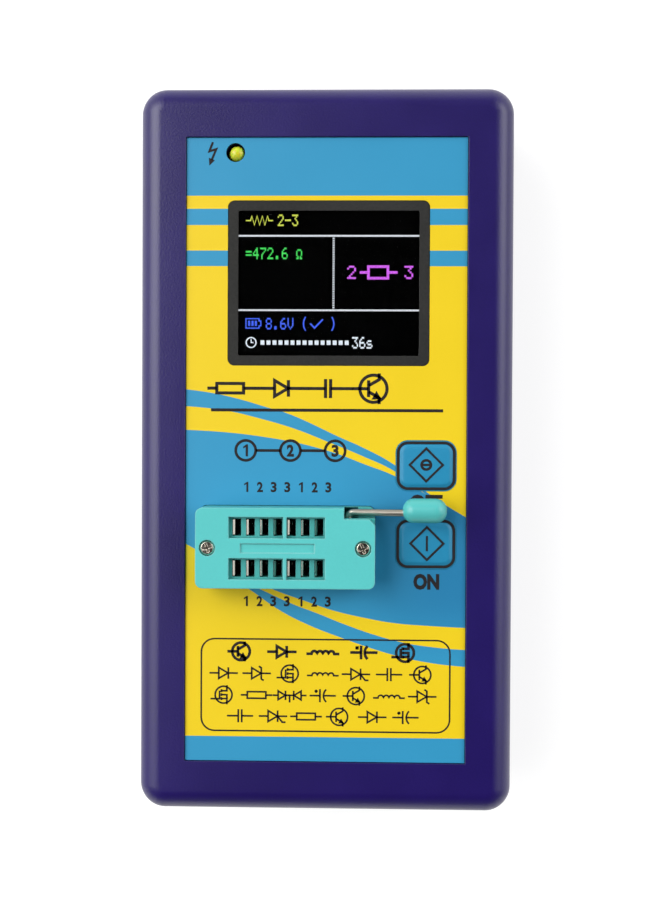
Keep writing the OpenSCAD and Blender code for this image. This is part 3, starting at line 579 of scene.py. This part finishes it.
# The print changes ink where it crosses an edge: 1 turns to blue below it and -1 to yellow
sweeps = [
    ([(-26.6, 11.5), (-21.3, 10.76), (-16.9, 9.79), (-11, 8.09), (-7.56, 7.1), (3.47, 2.16),
      (6.5, 0.85), (13.5, -2.98), (18.7, -7.42), (26.6, -12.5)], 1.0),
    ([(-26.6, 8.3), (-18.4, 7.39), (-12.5, 6.01), (-5.84, 4.07), (0.25, 1.71), (6.5, -0.82),
      (13.4, -4.06), (19, -8.2), (26.6, -14)], -1.0),
    ([(-26.6, 3.8), (-18.4, 3.31), (-12.5, 2.63), (-5.84, 1.51), (-2.4, 0.71), (2.9, -0.84),
      (6.5, -2.24), (13.4, -4.92), (19, -8.2), (26.6, -14)], 1.0),
    ([(-26.6, -17.9), (-24.8, -18.89), (-17, -23.3), (-10.1, -26.4), (-3.8, -28.63), (1.7, -30.43),
      (7.8, -31.8), (12.9, -32.67), (20, -33.2), (26.6, -33.5)], -1.0),
    ([(-26.6, -20), (-22, -22), (-12, -26.61), (-6.65, -29.04), (-1, -31.15), (3.55, -32.95),
      (9.5, -34.99), (14.9, -36.4), (20, -37.17), (26.6, -37.7)], 1.0),
    ([(-26.6, -20), (-22, -22), (-14.5, -26.44), (-8.7, -30.39), (-3.2, -33.15), (3.5, -35.7),
      (9.55, -37.75), (14.9, -39.22), (20, -40.21), (26.6, -40.9)], -1.0)]
bands = [(0.04823, -1.0), (0.04575, 1.0), (0.04268, -1.0), (0.03785, 1.0), (0.03491, -1.0),
         (-0.05457, 1.0)]

edge_group, entry, leave = start_group(
    "printed edge", [("Place", "NodeSocketFloat", 0.0), ("Edge", "NodeSocketFloat", 0.0)],
    [("Below", "NodeSocketFloat")])
step = edge_group.nodes.new("ShaderNodeMapRange")
step.interpolation_type = "SMOOTHSTEP"
step.inputs["From Min"].default_value = -0.00004
step.inputs["From Max"].default_value = 0.00004
edge_group.links.new(arithmetic(edge_group, "SUBTRACT", entry.outputs["Edge"], entry.outputs["Place"]),
                     step.inputs["Value"])
edge_group.links.new(step.outputs[0], leave.inputs["Below"])

print_inks = {"yellow": (0.84, 0.60, 0.0045), "blue": (0.027, 0.292, 0.52),
              "deep blue with painted shade": (0.013, 0.20, 0.405)}
film, tree, shader = new_finish("printed film", print_inks["yellow"], 0.42)
across = tree.nodes.new("ShaderNodeSeparateXYZ")
tree.links.new(tree.nodes.new("ShaderNodeTexCoord").outputs["Object"], across.inputs[0])
share = arithmetic(tree, "ADD", arithmetic(tree, "DIVIDE", across.outputs["X"], field_w), 0.5)
blue_share = 1.0
for edge, turn in bands:
    mask = place_group(tree, edge_group, Place=across.outputs["Y"], Edge=edge).outputs["Below"]
    blue_share = arithmetic(tree, "ADD", blue_share, arithmetic(tree, "MULTIPLY", mask, turn))
for points, turn in sweeps:
    line = tree.nodes.new("ShaderNodeFloatCurve")
    run = line.mapping.curves[0]
    for i, (x, y) in enumerate(points):
        knot = (x * 0.001 / field_w + 0.5, y * 0.001 / field_l + 0.5)
        if i in (0, len(points) - 1):
            run.points[0 if i == 0 else -1].location = (0.0 if i == 0 else 1.0, knot[1])
        else:
            run.points.new(*knot)
    line.mapping.update()
    tree.links.new(share, line.inputs["Value"])
    edge = arithmetic(tree, "MULTIPLY", arithmetic(tree, "SUBTRACT", line.outputs[0], 0.5), field_l)
    mask = place_group(tree, edge_group, Place=across.outputs["Y"], Edge=edge).outputs["Below"]
    blue_share = arithmetic(tree, "ADD", blue_share, arithmetic(tree, "MULTIPLY", mask, turn))
# The blue turns deeper towards the lower right, round the keys: partly a deeper print, partly painted shade
# where the light falls off and the socket shades the film
deep_and_shade_share = 1.0
for axis, start, end in (("X", -0.002, 0.024), ("Y", 0.005, -0.014), ("Y", -0.042, -0.027)):
    vignette = tree.nodes.new("ShaderNodeMapRange")
    vignette.interpolation_type = "SMOOTHSTEP"
    vignette.inputs["From Min"].default_value = start
    vignette.inputs["From Max"].default_value = end
    tree.links.new(across.outputs[axis], vignette.inputs["Value"])
    deep_and_shade_share = arithmetic(tree, "MULTIPLY", vignette.outputs[0], deep_and_shade_share)
blues = tree.nodes.new("ShaderNodeMix")
blues.data_type = "RGBA"
blues.inputs["A"].default_value = (*print_inks["blue"], 1)
blues.inputs["B"].default_value = (*print_inks["deep blue with painted shade"], 1)
tree.links.new(deep_and_shade_share, blues.inputs["Factor"])
inks = tree.nodes.new("ShaderNodeMix")
inks.data_type = "RGBA"
inks.inputs["A"].default_value = (*print_inks["yellow"], 1)
tree.links.new(blues.outputs["Result"], inks.inputs["B"])
tree.links.new(blue_share, inks.inputs["Factor"])
velvet = place_group(tree, grain_group, Colour=inks.outputs["Result"], Fineness=5200.0, Mottle=0.06,
                     Gloss_loss=0.42)
tree.links.new(velvet.outputs["Colour"], shader.inputs["Base Color"])
tree.links.new(velvet.outputs["Roughness"], shader.inputs["Roughness"])
bump = tree.nodes.new("ShaderNodeBump")
bump.inputs["Strength"].default_value = 0.25
bump.inputs["Distance"].default_value = 0.00003
tree.links.new(velvet.outputs["Height"], bump.inputs["Height"])
tree.links.new(bump.outputs[0], shader.inputs["Normal"])
dress(film, "front_film")


def slab(outline, low, high):
    """A flat piece filled from edge to edge: its outline at two heights, skinned and closed."""
    outline = np.asarray(outline, float)
    tall = np.ones((len(outline), 1))
    loops = [np.hstack([outline, tall * low]), np.hstack([outline, tall * high])]
    return rings_mesh(np.array(loops), False)


# The opening for the socket is punched with round corners, which these four webs fill in
punch_r, film_t = 1.4, 0.5
opening_low, opening_high = np.array((-23.9, -25.55)), np.array((9.5, -10.45))
webs = []
for side, end, start in ((-1, -1, 180), (1, -1, 270), (1, 1, 0), (-1, 1, 90)):
    corner = np.where((side > 0, end > 0), opening_high, opening_low)
    bend = circle(*(corner - punch_r * np.array((side, end))), punch_r, start, start + 90, 9)
    webs.append(slab(np.concatenate([[corner], bend[::-1]]), film_z - film_t, film_z))
join_meshes("film_punch_corners", webs, film, "case")


# Black screen ink carries the panel's signs: a rule, circuit signs, pin numbers and a rounded
# frame. It lies on the film a few hundredths of a millimetre thick.
ink = moulded("black screen ink", (0.02, 0.016, 0.017), 0.5, 6000.0, 0.2, mottle=0.3, painted_highlight=0.0)
ink.node_tree.nodes["Principled BSDF"].inputs["Specular IOR Level"].default_value = 0.2
ink_z = film_z + 0.02


def lettering(text, x, y, width, height, bold):
    """Signs from the plain built-in face, made a mesh and stretched to a given box about (x, y)."""
    face = bpy.data.curves.new(text, "FONT")
    face.body = text
    face.offset = bold
    face.resolution_u = 3
    holder = bpy.data.objects.new(text, face)
    scene.collection.objects.link(holder)
    bpy.context.view_layer.update()
    flat = bpy.data.meshes.new_from_object(holder.evaluated_get(bpy.context.evaluated_depsgraph_get()))
    work = bmesh.new()
    work.from_mesh(flat)
    bmesh.ops.remove_doubles(work, verts=work.verts, dist=1e-5)
    raised = bmesh.ops.extrude_face_region(work, geom=work.faces[:], use_keep_orig=True)
    bmesh.ops.translate(work, verts=[v for v in raised["geom"] if isinstance(v, bmesh.types.BMVert)],
                        vec=(0, 0, 1))
    work.to_mesh(flat)
    work.free()
    points = np.empty(len(flat.vertices) * 3, np.float32)
    flat.vertices.foreach_get("co", points)
    points = points.reshape(-1, 3)
    faces = [list(face.vertices) for face in flat.polygons]
    bpy.data.objects.remove(holder)
    bpy.data.meshes.remove(flat)
    low_corner, high_corner = points.min(0), points.max(0)
    middle = (low_corner + high_corner) / 2
    points[:, 0] = x + (points[:, 0] - middle[0]) * width / (high_corner[0] - low_corner[0])
    points[:, 1] = y + (points[:, 1] - middle[1]) * height / (high_corner[1] - low_corner[1])
    points[:, 2] = np.where(points[:, 2] > 0.5, ink_z, film_z)
    return points, faces


def rounded_loop(width, height, radius, around=12):
    """Points round a rectangle with round corners, the same number for every size, so that loops join."""
    turns = [(1, -1, -90), (1, 1, 0), (-1, 1, 90), (-1, -1, 180)]
    return np.concatenate([circle(side * (width / 2 - radius), end * (height / 2 - radius), radius,
                                  start, start + 90, around)
                           for side, end, start in turns])


signs = {
    "resistor": [([(-1.7, 0.6), (1.7, 0.6), (1.7, -0.6), (-1.7, -0.6)], True),
                 ([(-2.9, 0), (-1.7, 0)], False), ([(1.7, 0), (2.9, 0)], False)],
    "capacitor": [([(-0.32, 1.2), (-0.32, -1.2)], False), ([(0.32, 1.2), (0.32, -1.2)], False),
                  ([(-2.4, 0), (-0.32, 0)], False), ([(0.32, 0), (2.4, 0)], False)],
    "polar": [([(-0.5, 1.2), (-0.5, -1.2)], False), (circle(1.75, 0, 1.6, 134, 226, 9), False),
              ([(-2.4, 0), (-0.5, 0)], False), ([(0.15, 0), (2.4, 0)], False),
              ([(-1.5, 0.8), (-0.9, 0.8)], False), ([(-1.2, 1.1), (-1.2, 0.5)], False)],
    "diode": [([(-0.9, 1.0), (-0.9, -1.0), (0.8, 0)], True), ([(0.85, 1.05), (0.85, -1.05)], False),
              ([(-2.6, 0), (-0.9, 0)], False), ([(0.85, 0), (2.6, 0)], False)],
    "zener": [([(-0.9, 1.0), (-0.9, -1.0), (0.8, 0)], True),
              ([(0.4, 1.3), (0.85, 1.0), (0.85, -1.0), (1.3, -1.3)], False),
              ([(-2.6, 0), (-0.9, 0)], False), ([(0.85, 0), (2.6, 0)], False)],
    "thyristor": [([(-0.9, 1.0), (-0.9, -1.0), (0.8, 0)], True), ([(0.85, 1.05), (0.85, -1.05)], False),
                  ([(-2.6, 0), (-0.9, 0)], False), ([(0.85, 0), (2.6, 0)], False),
                  ([(0.95, -0.15), (1.7, -1.1), (2.3, -1.1)], False)],
    "pair": [([(-2.1, 0.8), (-2.1, -0.8), (-0.8, 0)], True), ([(-0.75, 0.85), (-0.75, -0.85)], False),
             ([(2.1, 0.8), (2.1, -0.8), (0.8, 0)], True), ([(0.75, 0.85), (0.75, -0.85)], False),
             ([(-3.1, 0), (-2.1, 0)], False), ([(2.1, 0), (3.1, 0)], False),
             ([(-0.75, 0), (0.75, 0)], False), ([(0, 0), (0, -1.3)], False)],
    "coil": [(np.concatenate([[(-2.9, -0.3), (-2.0, -0.3)]]
                             + [circle(-1.5 + i, -0.3, 0.5, 180, 0, 9)[1:] for i in range(4)]
                             + [[(2.9, -0.3)]]), False)],
    "transistor": [(circle(0, 0, 1.55), True), ([(-2.4, 0), (-0.55, 0)], False),
                   ([(-0.55, 0.95), (-0.55, -0.95)], False),
                   ([(-0.55, 0.35), (0.65, 1.05), (0.65, 1.75)], False),
                   ([(-0.55, -0.35), (0.65, -1.05), (0.65, -1.75)], False),
                   ([(0.1, -1.05), (0.35, -0.6), (0.62, -1.02)], True)],
    "switch": [(circle(0, 0, 1.55), True), ([(-2.4, -0.75), (-0.75, -0.75), (-0.75, 0.75)], False),
               ([(-0.4, 1.0), (-0.4, 0.45)], False), ([(-0.4, 0.25), (-0.4, -0.25)], False),
               ([(-0.4, -0.45), (-0.4, -1.0)], False), ([(-0.4, 0.72), (0.6, 0.72), (0.6, 1.75)], False),
               ([(-0.4, -0.72), (0.6, -0.72), (0.6, -1.75)], False),
               ([(-0.3, 0), (0.6, 0), (0.6, -0.72)], False)]}


def sign(name, x, y, size, width):
    """One circuit sign from the list, scaled and set at a place, drawn in lines of one width."""
    return [stroke(np.asarray(path, float) * size + (x, y), width, film_z, ink_z, closed)
            for path, closed in signs[name]]


marks = [stroke([(-21.84, 7.62), (22.2, 7.62)], 0.58, film_z, ink_z)]
title_y = 11.75
for name, x in (("resistor", -18.2), ("diode", -8.4), ("capacitor", 0.4), ("transistor", 9.0)):
    marks += sign(name, x, title_y, 1.5 if name != "transistor" else 1.66, 0.6)
for left, right in ((-13.9, -12.2), (-4.6, -3.1), (4.0, 5.2)):
    marks.append(stroke([(left, title_y), (right, title_y)], 0.6, film_z, ink_z))
for x in (-15.2, -6.7, 1.8):
    marks.append(stroke(circle(x, -0.05, 1.9), 0.52, film_z, ink_z, True))
for left, right in ((-13.3, -8.6), (-4.8, -0.1)):
    marks.append(stroke([(left, -0.05), (right, -0.05)], 0.52, film_z, ink_z))
marks.append(stroke(rounded_loop(47.28, 17.54, 2.5, 9) + (0.12, -44.72), 0.3, film_z, ink_z, True))
sign_rows = [(-38.35, 1.08, 0.52, 7.8, "transistor diode coil polar switch"),
             (-42.5, 1.04, 0.33, 6.3, "diode zener switch coil thyristor capacitor transistor"),
             (-46.65, 1.04, 0.33, 6.3, "switch resistor pair polar transistor coil zener"),
             (-50.65, 1.04, 0.33, 6.3, "capacitor thyristor resistor transistor diode polar")]
for y, size, width, spread, row in sign_rows:
    names = row.split()
    for place, name in enumerate(names):
        marks += sign(name, -0.35 + (place - (len(names) - 1) / 2) * spread, y, size, width)
bolt = [(-21.66, 58.35), (-22.32, 56.62), (-21.02, 57.03), (-21.84, 55.05)]
bolt_tip = [(-22.41, 55.42), (-21.28, 54.92), (-22.31, 53.93)]
marks += [stroke(bolt, 0.42, film_z, ink_z), slab(bolt_tip, film_z, ink_z)]
join_meshes("panel_signs", marks, ink, "case")
figure_one = np.array([(0.19, -0.5), (0.19, 0.5), (0.05, 0.5), (-0.21, 0.31), (-0.21, 0.15),
                       (0.0, 0.28), (0.0, -0.5)])
numbers = []
for y in (-7.0, -28.73):
    for place, number in enumerate("1233123"):
        x = -15.05 + 2.6 * place
        if number == "1":
            numbers.append(slab(figure_one * 1.92 + (x, y), film_z, ink_z))
        else:
            numbers.append(lettering(number, x, y, 1.12, 1.95, 0.035))
numbers.append(slab(figure_one * 2.3 + (-15.2, -0.05), film_z, ink_z))
for x, number in ((-6.7, "2"), (1.8, "3")):
    numbers.append(lettering(number, x, -0.05, 1.35, 2.3, 0.045))
numbers.append(lettering("OFF", 19.1, -9.75, 6.2, 3.0, 0.055))
numbers.append(lettering("ON", 19.2, -24.8, 4.9, 3.05, 0.055))
join_meshes("panel_numbers", numbers, ink, "case")


# The two keys are embossed pillows in the film over the switches: a raised rim inside a black
# printed outline, a flat face, and a diamond with the key's sign.
key_blue = moulded("embossed key film", (0.016, 0.245, 0.44), 0.42, 5200.0, 0.25, mottle=0.06,
                   painted_highlight=0.0)
key_blue.node_tree.nodes["Principled BSDF"].inputs["Specular IOR Level"].default_value = 0.35
key_w, key_l, key_r = 11.5, 9.6, 2.3
lip_z, rim_rise, crown = 26.64, 0.36, 0.08
flange_low, flange_high = 25.55, 25.95
face_z = lip_z + rim_rise
stem_r = 2.05


def pillow(name, x, y, sign_x, sign_y, node, body, extra):
    """A key as loops of one rounded outline: the flange, the wall, then over the face, where the height
    rises as a smooth step with the distance from the edge and settles on a very slight crown."""
    inset = np.array([2.6, -0.35, -0.35, 0.0, 0.0, 0.06, 0.28, 0.5, 0.6, 0.72, 0.86, 1.0, 1.15, 1.3,
                      1.6, 2.0, 2.6, 3.2, 3.9, 4.5])
    step_up = np.clip((inset - 0.62) / 0.8, 0, 1)
    tall = lip_z + rim_rise * step_up ** 2 * (3 - 2 * step_up)
    tall += crown * np.clip((inset - 1.0) / 3.5, 0, 1)
    tall[:4] = (flange_low, flange_low, flange_high, flange_high)
    loops = []
    for gap, z in zip(inset, tall):
        loop = rounded_loop(key_w - 2 * gap, key_l - 2 * gap, max(key_r - gap, 0.15))
        loops.append(np.hstack([loop + (x, y), np.full((len(loop), 1), z)]))
    skin = rings_mesh(np.array(loops), False)
    stem = slab(circle(x, y, stem_r, steps=32), flange_low - 0.35, flange_low + 0.01)
    piece = join_meshes(name, [skin, stem], key_blue, body, smooth=50)
    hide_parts(node)
    outline = rounded_loop(key_w - 0.88, key_l - 0.92, key_r - 0.42)
    diamond = np.array([(0, 3.1), (3.12, 0), (0, -3.1), (-3.12, 0)]) + (sign_x, sign_y)
    ink_lines = [stroke(outline + (x, y), 0.54, lip_z - 0.02, lip_z + crown, True),
                 stroke(diamond, 0.42, face_z, face_z + 0.09, True)]
    ink_lines += [stroke(np.asarray(path, float) + (sign_x, sign_y), width, face_z, face_z + 0.09, closed)
                  for path, width, closed in extra]
    join_meshes(name + "_print", ink_lines, ink, body)


pillow("upper_key", 19.05, -2.8, 19.05, -2.62, "off_key", "off_button",
       [(circle(0, 0, 0.88), 0.5, True), ([(-0.65, 0), (0.65, 0)], 0.46, False)])
pillow("lower_key", 19.05, -17.6, 19.25, -17.5, "test_key", "test_button",
       [([(0, -1.45), (0, 1.45)], 0.4, False)])


# The lamp is a 3 mm diode in diffused yellow-green resin, which pokes through a punched hole in
# the film.
lamp, tree, shader = new_finish("yellow green resin", (0.60, 0.66, 0.03), 0.2)
shader.inputs["Subsurface Weight"].default_value = 0.4
shader.inputs["Subsurface Scale"].default_value = 0.001
resin_grain = place_group(tree, grain_group, Colour=(0.60, 0.63, 0.035, 1), Fineness=1500.0, Mottle=0.5,
                          Gloss_loss=0.18)
tree.links.new(resin_grain.outputs["Colour"], shader.inputs["Base Color"])
tree.links.new(resin_grain.outputs["Roughness"], shader.inputs["Roughness"])
dress(lamp, "indicator_lamp")


# The test socket's base, slider and cover are glass-filled teal nylon. The base and the slider get a darker
# teal as painted shade, for the shadow they lie in below the cover. Two screws hold the cover down on the
# base.
teal = moulded("teal socket moulding", (0.098, 0.56, 0.545), 0.38, 2600.0, 0.3, mottle=0.08,
               corner=0.0003, painted_highlight=0.5)
dress(teal, "socket_cover")
# Painted shade: the base and the slider below are the cover's teal made darker, for the shade under the
# cover
dress(moulded("teal base moulding in painted shade", (0.06, 0.40, 0.385), 0.4, 2600.0, 0.3, corner=0.0002), "socket_base")
dress(moulded("teal slider moulding in painted shade", (0.05, 0.36, 0.34), 0.45, 2600.0, 0.3), "socket_slider")


# The contacts are spring bronze blades with a bright plate, stamped from strip. One stands against
# each slot's left wall, and its pin is soldered to the board.
dress(plated("plated spring blades", (0.40, 0.375, 0.33), 0.2, 3000.0, (1, 0.1, 1), 0.4, 0.00006),
      "upper_contacts", "lower_contacts")


# Two nickel plated steel screws with a cross recess hold the cover down. Their heads sit in
# round counterbores.
nickel = plated("nickel plate", (0.78, 0.70, 0.60), 0.2, 1600.0, (1, 1, 1), 0.55, 0.00016)
dress(nickel, "socket_screws")


# The lever is one length of nickel plated spring wire, bent to a shaft with two cranks. Its knob is
# moulded on in glossier teal.
wire = plated("nickel wire", (0.45, 0.42, 0.365), 0.33, 2600.0, (0.06, 1, 1), 0.3)
dress(wire, "socket_lever")
dress(moulded("glossy teal knob", (0.088, 0.50, 0.485), 0.24, 1400.0, 0.05, mottle=0.05, painted_highlight=0.0),
      "lever_knob")


# Zinc plated steel screws with a cross recess hold the board to its bosses, and four long ones from
# the back hold the two halves together.
zinc = plated("zinc plate", (0.55, 0.56, 0.58), 0.35, 3500.0, (1, 1, 1), 0.4, 0.0002)
dress(zinc, "board_screws", "case_screws")
